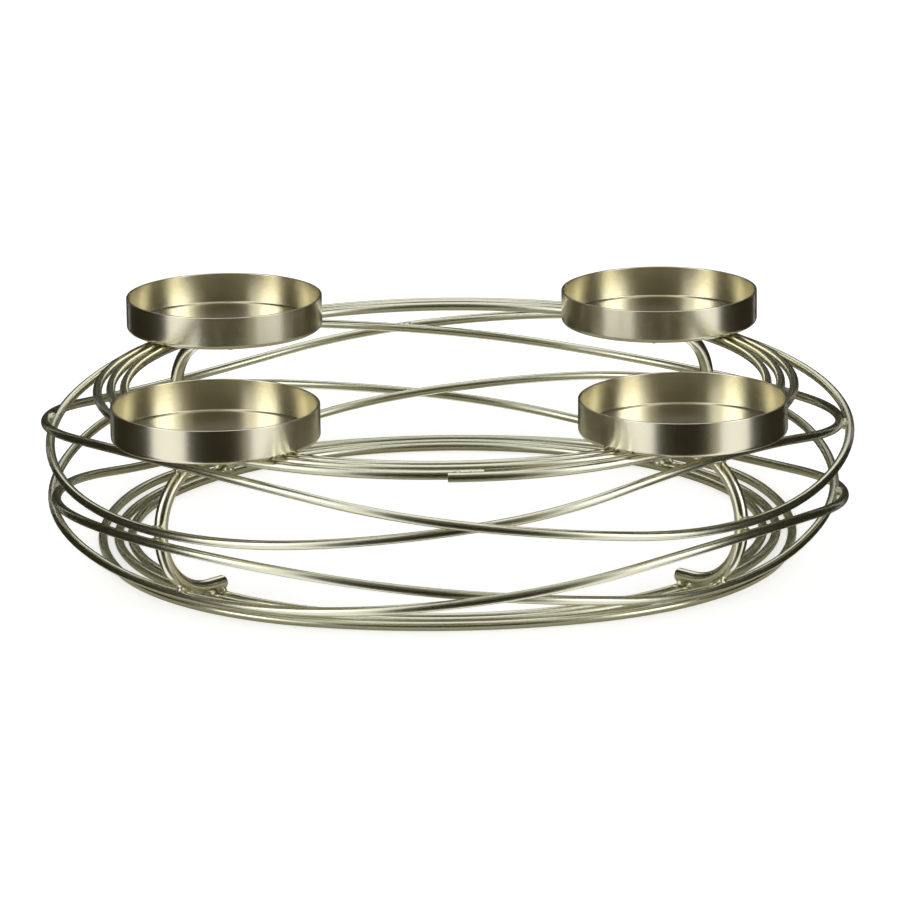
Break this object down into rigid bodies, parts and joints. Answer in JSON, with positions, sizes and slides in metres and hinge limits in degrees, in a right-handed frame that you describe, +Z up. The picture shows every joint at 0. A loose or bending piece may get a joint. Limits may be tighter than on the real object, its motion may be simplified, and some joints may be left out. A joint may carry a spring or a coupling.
{
  "type": "advent candle holder",
  "caption": "Round wire wreath of welded hoops and C-shaped ribs carrying shallow open cups for pillar candles, in satin champagne-gold metal.",
  "frame": {"origin": "on the floor, on the wreath's axis, at the middle of the bounding box's bottom face", "axes": "+Z up along the wreath's axis; the ribs and cups lie on +X, +Y, -X and -Y"},
  "size_m": [0.311, 0.311, 0.0722],
  "materials": {
    "cup_sheet": "satin champagne gold",
    "rib_rod": "satin champagne gold",
    "hoop_wire": "satin champagne gold",
    "weld_bead": "satin champagne gold, slightly rough"
  },
  "bodies": {
    "root": {"candle_cup_1": "cup_sheet", "candle_cup_2": "cup_sheet", "candle_cup_3": "cup_sheet", "candle_cup_4": "cup_sheet", "rib_1": "rib_rod", "rib_2": "rib_rod", "rib_3": "rib_rod", "rib_4": "rib_rod", "upper_hoop_outer": "hoop_wire", "upper_hoop_inner": "hoop_wire", "lower_hoop_outer": "hoop_wire", "lower_hoop_inner": "hoop_wire", "top_hoop_inner": "hoop_wire", "top_hoop_middle": "hoop_wire", "top_hoop_outer": "hoop_wire", "foot_hoop_inner": "hoop_wire", "foot_hoop_middle": "hoop_wire", "foot_hoop_outer": "hoop_wire", "top_welds": "weld_bead", "foot_welds": "weld_bead", "shoulder_welds": "weld_bead", "toe_welds": "weld_bead", "side_welds": "weld_bead", "crossing_welds": "weld_bead", "lap_welds": "weld_bead", "cup_welds": "weld_bead"}
  },
  "joints": []
}
